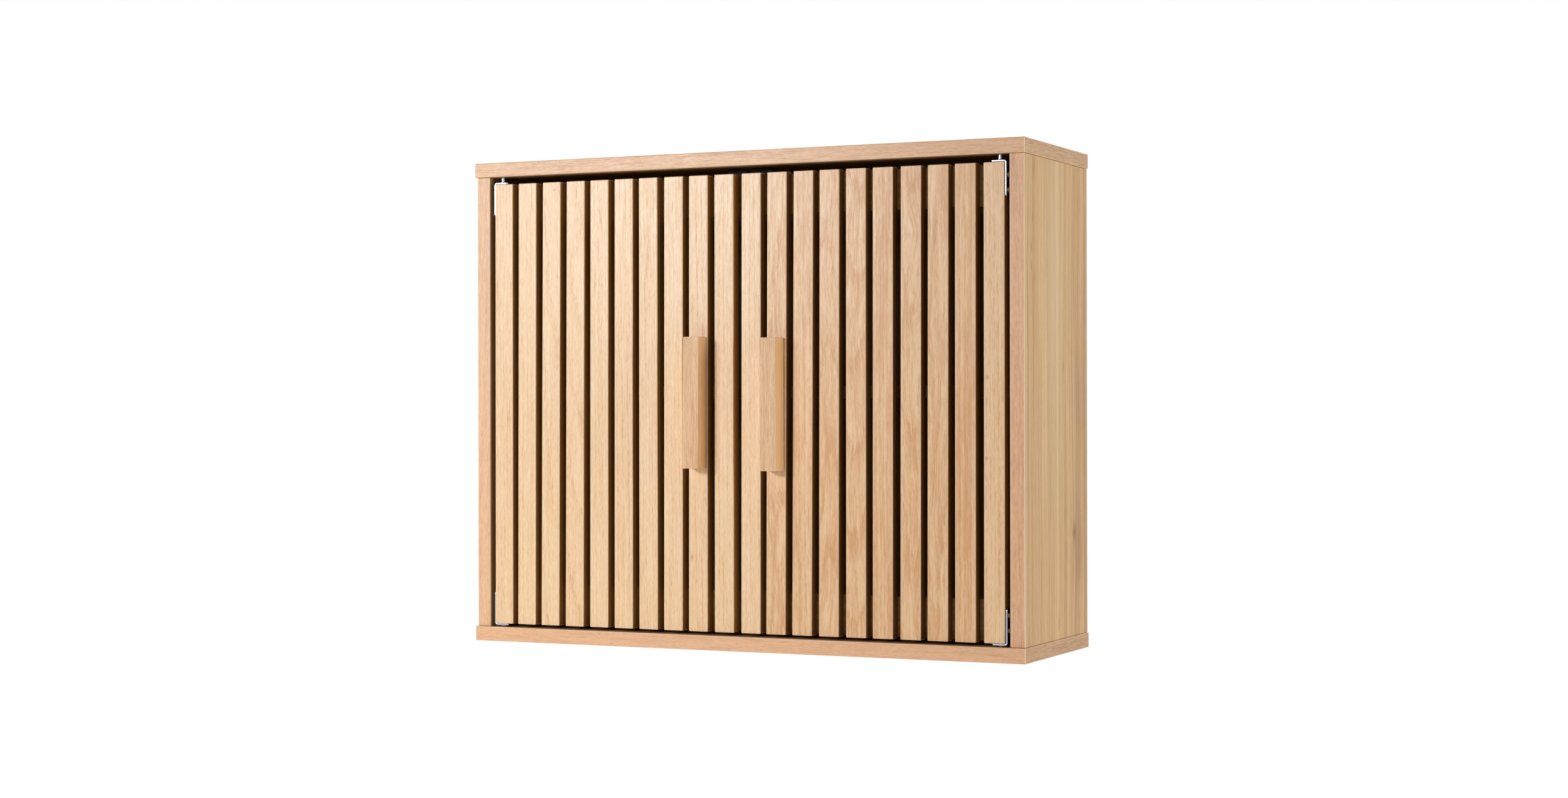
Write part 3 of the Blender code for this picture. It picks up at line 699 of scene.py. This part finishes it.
def towards(direction):
    """The turn that takes +Z to a direction."""
    return Vector(direction).to_track_quat("Z", "Y").to_matrix().to_4x4()


def piece(name, bm, material, body, slot, node=None, **values):
    """Makes a piece from a bmesh, finished, riding on its body and standing for a CAD node."""
    mesh = meshed(name, bm)
    mesh.materials.append(material)
    mesh.shade_smooth()
    mesh.set_sharp_from_angle(angle=SMOOTH_ANGLE)
    for key, value in values.items():
        kind, field = ("FLOAT", "value") if isinstance(value, float) else ("FLOAT_VECTOR", "vector")
        layer = mesh.attributes.new(key, kind, "POINT")
        for item in layer.data:
            setattr(item, field, value)
    made = placed(name, mesh)
    weighted = made.modifiers.new("Weighted Normal", "WEIGHTED_NORMAL")
    weighted.keep_sharp = True
    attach(made, body)
    if node:
        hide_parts(node)


def cut(bm, cutters):
    """Cuts shapes out of a bmesh with exact Boolean modifiers."""
    whole, *tools = [placed("cut", meshed("cut", shape)) for shape in (bm, *cutters)]
    for tool in tools:
        modifier = whole.modifiers.new("cut", "BOOLEAN")
        modifier.operation = "DIFFERENCE"
        modifier.solver = "EXACT"
        modifier.object = tool
    graph = bpy.context.evaluated_depsgraph_get()
    result = bpy.data.meshes.new_from_object(whole.evaluated_get(graph))
    out = bmesh.new()
    out.from_mesh(result)
    for mesh in (whole.data, *(tool.data for tool in tools), result):
        bpy.data.meshes.remove(mesh)
    bmesh.ops.remove_doubles(out, verts=out.verts, dist=1e-7)
    return out


def arc(centre, radius, start, end, steps):
    """Points on an arc between two angles in degrees."""
    angles = [math.radians(start + (end - start) * step / steps) for step in range(steps + 1)]
    return [(centre[0] + radius * math.cos(a), centre[1] + radius * math.sin(a)) for a in angles]


def screw_shape(head, rise, shank, reach, sunk=False):
    """A cross-head screw along Z, with the underside of its head at the origin."""
    profile = [(0, -reach), (shank * 0.3, -reach + shank), (shank, -reach + 3 * shank)]
    if sunk:
        profile += [(shank, shank - head), (head, 0), (head, rise * 0.3), (head * 0.7, rise)]
    else:
        dome = arc((0, 0), 1.0, 0, 90, 7)
        profile.append((shank, 0))
        profile += [(head * (0.35 + 0.65 * out), rise * high) for out, high in dome[:-1]]
        profile.append((head * 0.35, rise))
    bm = spun([*profile, (0, rise)])
    size = Vector((head * 0.62, head * 0.11, head * 0.45))
    arms = []
    for turn in (0.0, math.pi / 2):
        arm = cube(-size, size)
        foot = [vertex for vertex in arm.verts if vertex.co.z < 0]
        bmesh.ops.scale(arm, vec=(0.45, 0.6, 1.0), verts=foot)
        place = Matrix.Translation((0, 0, rise)) @ Matrix.Rotation(turn, 4, "Z")
        arms.append(moved(arm, place))
    return cut(bm, arms)


def screws(name, size, places, body, seed, direction=(0, 1, 0), node=None):
    """Copies of one screw, their heads facing one way and their crosses turned at random."""
    turns = random.Random(seed)
    source = meshed("screw", screw_shape(*size))
    whole = bmesh.new()
    for place in places:
        one = bmesh.new()
        one.from_mesh(source)
        spin = Matrix.Rotation(turns.uniform(0, math.pi), 4, "Z")
        moved(one, Matrix.Translation(place) @ towards(direction) @ spin)
        mesh = meshed("screw", one)
        whole.from_mesh(mesh)
        bpy.data.meshes.remove(mesh)
    bpy.data.meshes.remove(source)
    piece(name, whole, zinc("screw_steel"), body, "steel", node)


def bent_plate(foot, leg, width, sizes):
    """A strip bent square, its outer corner at the origin, its foot along -X and its leg down."""
    bm = bmesh.new()
    rows = []
    for x, z in ((-foot, 0), (0, 0), (0, -leg)):
        rows.append([bm.verts.new((x, y, z)) for y in (-width / 2, width / 2)])
    for first, second in zip(rows, rows[1:]):
        bm.faces.new((*first, *reversed(second)))
    bmesh.ops.recalc_face_normals(bm, faces=bm.faces)
    crease = [edge for edge in bm.edges if len(edge.link_faces) == 2]
    bevel(bm, crease, sizes.bracket_bend, 8)
    bm.normal_update()
    if sum(face.normal.z + face.normal.x for face in bm.faces) < 0:
        bmesh.ops.reverse_faces(bm, faces=bm.faces)
    bmesh.ops.solidify(bm, geom=bm.faces[:], thickness=PLATE_THICKNESS)
    bmesh.ops.recalc_face_normals(bm, faces=bm.faces)
    corners = []
    for edge in bm.edges:
        middle = (edge.verts[0].co + edge.verts[1].co) / 2
        short = abs(edge.calc_length() / PLATE_THICKNESS - 1) < 0.1
        outside = abs(abs(middle.y) - width / 2) < 1e-5
        if short and outside and (middle.x < 1e-4 - foot or middle.z < 1e-4 - leg):
            corners.append(edge)
    bevel(bm, corners, sizes.bracket_corner, 5)
    return bm


class CABINET_OT_boards(bpy.types.Operator):
    """Finishes the boards of the carcass, the shelf, the back panel and the rail behind it"""

    bl_idname = "cabinet.boards"
    bl_label = "Finish the boards"

    def execute(self, context):
        colours = context.scene.cabinet_colours
        for node, inward in (("top_panel", (0, -1)), ("bottom_panel", (0, 1)), ("shelf", None)):
            coat_node(node, board_oak(colours, node, "X", inward))
        for hand, side in HANDS:
            node = f"{hand}_side_panel"
            coat_node(node, board_oak(colours, node, "Z", (-side, 0), right=side > 0))
        coat_node("back_panel", back_board(colours))
        coat_node("back_rail", ready("rail_oak", rail_oak, colours))
        return {"FINISHED"}


class CABINET_OT_slats(bpy.types.Operator):
    """Makes the twenty slats, each from a trunk of its own and with eased edges"""

    bl_idname = "cabinet.slats"
    bl_label = "Make the slats"

    def execute(self, context):
        sizes, colours = context.scene.cabinet_sizes, context.scene.cabinet_colours
        oak = slat_oak(colours)
        draws = random.Random(12)
        for count, (top, foot, tone) in enumerate(zip(SLAT_TOPS, SLAT_FEET, SLAT_TONES)):
            hand, number = ("left", count + 1) if count < SLATS else ("right", 2 * SLATS - count)
            node = f"{hand}_slat_{number:02d}"
            bm = leaning(*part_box(node), top, foot)
            ease(bm, bm.edges[:], sizes.slat_edge)
            middle = point(node).x
            flamed = count in FLAMED_SLATS
            if flamed:
                trunk = (middle + draws.uniform(-0.012, 0.012), draws.uniform(-0.15, -0.11),
                         draws.uniform(0.02, 0.06) * draws.choice((-1, 1)))
            else:
                trunk = (middle + draws.uniform(0.05, 0.11) * draws.choice((-1, 1)),
                         draws.uniform(-0.16, -0.06), draws.uniform(-0.012, 0.012))
            piece(f"{hand}_oak_slat_{number:02d}", bm, oak, f"{hand}_door", "oak_slat", node,
                  # The wall attribute carries the painted shade of this slat's walls in the gaps
                  trunk=trunk, tone=tone, wall=END_WALLS_PAINTED_SHADE.get(count, RIGHT_WALLS_PAINTED_SHADE[hand]),
                  figure=FIGURES[hand if flamed else "plain"])
        return {"FINISHED"}


class CABINET_OT_rails(bpy.types.Operator):
    """Finishes the cross rails of the doors and drives the screws that hold the slats on them"""

    bl_idname = "cabinet.rails"
    bl_label = "Finish the rails"

    def execute(self, context):
        colours = context.scene.cabinet_colours
        for hand, _ in HANDS:
            for end, _ in ENDS:
                node = f"{hand}_{end}_rail"
                coat_node(node, ready("rail_oak", rail_oak, colours))
                back = point(node, y=1)
                places = [(point(f"{hand}_slat_{number:02d}").x, back.y, back.z)
                          for number in range(1, SLATS + 1)]
                screws(f"{hand}_{end}_slat_screws", SLAT_SCREW, places, f"{hand}_door",
                       len(hand) + len(end))
        return {"FINISHED"}


class CABINET_OT_handles(bpy.types.Operator):
    """Makes the two wooden bar handles and the screws that hold them from behind"""

    bl_idname = "cabinet.handles"
    bl_label = "Make the handles"

    def execute(self, context):
        sizes, colours = context.scene.cabinet_sizes, context.scene.cabinet_colours
        oak = handle_oak(colours)
        for hand, _ in HANDS:
            node = f"{hand}_handle"
            bm = leaning(*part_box(node), *HANDLE_LEANS[hand])
            ease(bm, bm.edges[:], sizes.handle_edge)
            piece(f"{hand}_bar_handle", bm, oak, f"{hand}_door", "oak_handle", node)
            middle = point(node)
            back = point(f"{hand}_slat_{HANDLE_SLAT:02d}", y=1).y
            places = [(middle.x, back, middle.z + rise) for rise in (-0.048, 0.048)]
            screws(f"{hand}_handle_screws", HANDLE_SCREW, places, f"{hand}_door", 8)
        return {"FINISHED"}


class CABINET_OT_hinges(bpy.types.Operator):
    """Makes the bent hinge brackets, their pivot pins and their cross-head screws"""

    bl_idname = "cabinet.hinges"
    bl_label = "Make the hinges"

    def execute(self, context):
        sizes = context.scene.cabinet_sizes
        metal = zinc("steel")
        for hand, side in HANDS:
            for end, up in ENDS:
                node = f"{hand}_{end}_bracket"
                size = extent(node)
                corner = point(node, side, 0, up)
                bm = bent_plate(size.x, size.z, size.y, sizes)
                ease(bm, sharp_edges(bm), sizes.steel_edge, 2)
                moved(bm, Matrix.Translation(corner) @ Matrix.Diagonal((side, 1, up, 1)))
                piece(f"{hand}_{end}_hinge_bracket", bm, metal, f"{hand}_door", "steel", node)
                self.pin(hand, end, up, corner.z, metal)
                for number in (1, 2):
                    node = f"{hand}_{end}_screw_{number}"
                    rise = HINGE_SCREW[1]
                    size = (*HINGE_SCREW, extent(node).x - rise)
                    seat = point(node, side) - Vector((side * rise, 0, 0))
                    screws(f"{hand}_{end}_hinge_screw_{number}", size, [seat], f"{hand}_door",
                           number + 5 * len(end), (side, 0, 0), node)
        return {"FINISHED"}

    def pin(self, hand, end, up, bracket, metal):
        """One pivot pin, with its collar on the bracket at this height and its tip in the panel."""
        node = f"{hand}_{end}_pin"
        tip = abs(point(node, z=up).z - bracket)
        tail = -abs(point(node, z=-up).z - bracket)
        radius, collar, rise = 0.002, 0.0032, 0.0011
        profile = [(0, tail), (radius - 0.0003, tail), (radius, tail + 0.0003), (radius, FIT_GAP),
                   (collar - 0.0002, FIT_GAP), (collar, FIT_GAP + 0.0002),
                   (collar, rise - 0.0004), (collar - 0.0003, rise - 0.0001),
                   (radius + 0.0002, rise), (radius, rise + 0.0002), (radius, tip - 0.0006),
                   (radius - 0.0002, tip - 0.0002), (radius - 0.0006, tip), (0, tip)]
        place = point(node)
        place.z = bracket
        bm = moved(spun(profile, 40), Matrix.Translation(place) @ Matrix.Diagonal((1, 1, up, 1)))
        piece(f"{hand}_{end}_pivot_pin", bm, metal, f"{hand}_door", "steel", node)


class CABINET_OT_shelf_pins(bpy.types.Operator):
    """Makes the four round-nosed pins that the shelf lies on"""

    bl_idname = "cabinet.shelf_pins"
    bl_label = "Make the shelf pins"

    def execute(self, context):
        for hand, side in HANDS:
            for end in ("front", "back"):
                node = f"shelf_pin_{hand}_{end}"
                reach, radius = extent(node).x, extent(node).z / 2
                chamfer, nose = 0.0005, 0.0012
                profile = [(0, 0), (radius - chamfer, 0), (radius, chamfer), (radius, reach - nose)]
                profile += arc((radius - nose, reach - nose), nose, 0, 90, 5)[1:] + [(0, reach)]
                place = Matrix.Translation(point(node, side)) @ towards((-side, 0, 0))
                piece(f"{hand}_{end}_shelf_pin", moved(spun(profile), place), zinc("steel"),
                      "cabinet", "steel", node)
        return {"FINISHED"}


class CABINET_OT_catch(bpy.types.Operator):
    """Makes the double magnetic catch and finishes its magnets and strike plates"""

    bl_idname = "cabinet.catch"
    bl_label = "Make the catch"

    def execute(self, context):
        sizes, colours = context.scene.cabinet_sizes, context.scene.cabinet_colours
        plastic = moulded_plastic(colours)
        dark = ferrite(colours)
        low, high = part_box("catch_housing")
        bm = cube(low, high)
        ease(bm, bm.edges[:], sizes.catch_edge, 3)
        cutters = []
        for hand, _ in HANDS:
            first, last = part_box(f"catch_magnet_{hand}")
            grow = Vector((FIT_GAP, 0, FIT_GAP))
            cutters.append(cube(first - grow - Vector((0, CUT_PAST, 0)), last + grow))
            coat_node(f"catch_magnet_{hand}", dark)
            node = f"{hand}_strike_plate"
            coat_node(node, zinc("steel"))
            screws(f"{hand}_strike_screw", STRIKE_SCREW, [point(node, y=1)], f"{hand}_door", 11)
        cutters.append(cube((low.x * 0.12, low.y - CUT_PAST, low.z + 0.0014),
                            (high.x * 0.12, low.y + 0.0024, high.z - 0.002)))
        piece("catch_case", cut(bm, cutters), plastic, "cabinet", "catch_plastic",
              "catch_housing")
        screws("catch_screw", CATCH_SCREW, [(0.0, high.y - 0.005, low.z)], "cabinet", 2,
               (0, 0, -1))
        return {"FINISHED"}


class CABINET_OT_hangers(bpy.types.Operator):
    """Makes the two angle brackets with keyholes that the cabinet hangs on"""

    bl_idname = "cabinet.hangers"
    bl_label = "Make the hangers"

    def execute(self, context):
        sizes = context.scene.cabinet_sizes
        for hand, side in HANDS:
            node = f"hanger_bracket_{hand}"
            size = extent(node)
            corner = point(node, side, 1)
            bm = bent_plate(size.x, size.y, size.z, sizes)
            turn = Matrix.Diagonal((side, 1, 1, 1)) @ Matrix.Rotation(-math.pi / 2, 4, "X")
            moved(bm, Matrix.Translation(corner) @ turn)
            bm = cut(bm, self.keyhole(side))
            ease(bm, sharp_edges(bm), sizes.steel_edge, 1)
            piece(f"{hand}_keyhole_bracket", bm, zinc("dull_steel"), "cabinet", "hanger_steel",
                  node)
            face = corner.x - side * PLATE_THICKNESS
            places = [(face, point(node).y, corner.z + rise) for rise in (-0.017, 0.017)]
            screws(f"{hand}_hanger_screws", HANGER_SCREW, places, "cabinet", 17, (-side, 0, 0))
        return {"FINISHED"}

    def keyhole(self, side):
        """The shapes that cut a keyhole: its seat, its slot and the entry below."""
        out, slot, entry, drop = KEYHOLE
        x, reach = side * out, 0.003
        flat = Matrix.Rotation(math.pi / 2, 4, "X")
        seat = moved(disc(slot, 2 * reach), Matrix.Translation((x, 0, 0)) @ flat)
        hole = moved(disc(entry, 2 * reach, 48), Matrix.Translation((x, 0, -drop)) @ flat)
        return [seat, cube((x - slot, -reach, -drop), (x + slot, reach, 0)), hole]


class CABINET_OT_stage(bpy.types.Operator):
    """Sets up the pale floor, the soft studio lamps and the camera at the front right"""

    bl_idname = "cabinet.stage"
    bl_label = "Set up the studio"

    def execute(self, context):
        scene = context.scene
        scene.view_settings.view_transform = "Standard"
        self.world(scene)
        self.floor()
        self.lamp("key_lamp", (-1.08, -2.06, 0.3), 0.7, scene.cabinet_sizes.key_light_power,
                  aim=(-0.9, -0.1, -5.0))
        self.lamp("side_lamp", (2.8, -0.4, 0.1), 1.1, 33.0)
        self.lamp("top_lamp", (0.0, 0.4, 2.4), 1.5, 30.0)
        self.lamp("rear_lamp", (-1.2, 2.6, 1.2), 1.5, 42.0)
        self.camera(scene)
        return {"FINISHED"}

    def lamp(self, name, place, size, power, aim=(0, -0.1, -0.2)):
        """A large square lamp that lights the cabinet and doesn't show itself."""
        data = bpy.data.lights.new(name, "AREA")
        data.shape = "SQUARE"
        data.size = size
        data.energy = power
        made = placed(name, data)
        made.location = place
        made.rotation_euler = (Vector(aim) - Vector(place)).to_track_quat("-Z", "Y").to_euler()
        made.visible_camera = False

    def world(self, scene):
        """White to the camera and in reflections, and a lower level on the cabinet."""
        finish = Finish("studio", "worlds")
        level = scene.cabinet_sizes.world_level
        seen = finish.seen_by("Is Camera Ray", "Is Glossy Ray", "Is Transmission Ray")
        light = finish.add("ShaderNodeBackground", {
            "Color": (1, 1, 1, 1), "Strength": seen * (1 - level) + level})
        finish.add("ShaderNodeOutputWorld", {"Surface": light})
        scene.world = finish.owner

    def floor(self):
        """A pale floor far below, white to the camera apart from the cabinet's shadow."""
        bm = bmesh.new()
        bmesh.ops.create_circle(bm, cap_ends=True, segments=96, radius=3.6,
                                matrix=Matrix.Translation((0, 0, -1.35)))
        made = placed("floor", meshed("floor", bm))
        finish = Finish("pale_floor")
        seen = finish.seen_by("Is Camera Ray", "Is Glossy Ray")
        paint = finish.add("ShaderNodeBsdfDiffuse", {"Color": (0.9, 0.9, 0.9, 1)})
        glow = finish.add("ShaderNodeEmission", {"Color": (1, 1, 1, 1), "Strength": 1.0})
        mixed = finish.add("ShaderNodeMixShader", {0: seen * 0.8, 1: paint, 2: glow})
        finish.add("ShaderNodeOutputMaterial", {"Surface": mixed})
        made.data.materials.append(finish.owner)

    def camera(self, scene):
        """A camera at the front right, level with the middle of the cabinet."""
        data = bpy.data.cameras.new("camera")
        data.sensor_width = 36.0
        data.lens = 57.51
        data.shift_x = 0.00144
        data.shift_y = 0.00353
        made = placed("camera", data)
        yaw, pitch, roll = (math.radians(angle) for angle in (25.206, 0.039, -0.108))
        turn = (Matrix.Rotation(yaw, 4, "Z") @ Matrix.Rotation(math.pi / 2 + pitch, 4, "X")
                @ Matrix.Rotation(roll, 4, "Z"))
        made.matrix_world = Matrix.Translation((1.1058, -2.4321, -0.2098)) @ turn
        scene.camera = made


OPERATORS = (CABINET_OT_boards, CABINET_OT_slats, CABINET_OT_rails, CABINET_OT_handles,
             CABINET_OT_hinges, CABINET_OT_shelf_pins, CABINET_OT_catch, CABINET_OT_hangers,
             CABINET_OT_stage)


class CABINET_PT_panel(bpy.types.Panel):
    """Lists the steps that dress the cabinet, and its sizes and colours."""

    bl_idname = "CABINET_PT_panel"
    bl_label = "Wall cabinet"
    bl_space_type = "VIEW_3D"
    bl_region_type = "UI"
    bl_category = "Cabinet"

    def draw(self, context):
        for operator in OPERATORS:
            self.layout.operator(operator.bl_idname)
        for group in (context.scene.cabinet_sizes, context.scene.cabinet_colours):
            box = self.layout.box()
            for name in group.__annotations__:
                box.prop(group, name)


CLASSES = (CABINET_PG_sizes, CABINET_PG_colours, *OPERATORS, CABINET_PT_panel)


def register():
    """Adds the classes and the scene's settings."""
    for kind in CLASSES:
        bpy.utils.register_class(kind)
    bpy.types.Scene.cabinet_sizes = bpy.props.PointerProperty(type=CABINET_PG_sizes)
    bpy.types.Scene.cabinet_colours = bpy.props.PointerProperty(type=CABINET_PG_colours)


def unregister():
    """Takes them away again."""
    del bpy.types.Scene.cabinet_colours
    del bpy.types.Scene.cabinet_sizes
    for kind in reversed(CLASSES):
        bpy.utils.unregister_class(kind)


def main():
    """Makes every piece and the stage."""
    register()
    bpy.ops.cabinet.boards()
    bpy.ops.cabinet.slats()
    bpy.ops.cabinet.rails()
    bpy.ops.cabinet.handles()
    bpy.ops.cabinet.hinges()
    bpy.ops.cabinet.shelf_pins()
    bpy.ops.cabinet.catch()
    bpy.ops.cabinet.hangers()
    bpy.ops.cabinet.stage()


if __name__ == "__main__":
    main()
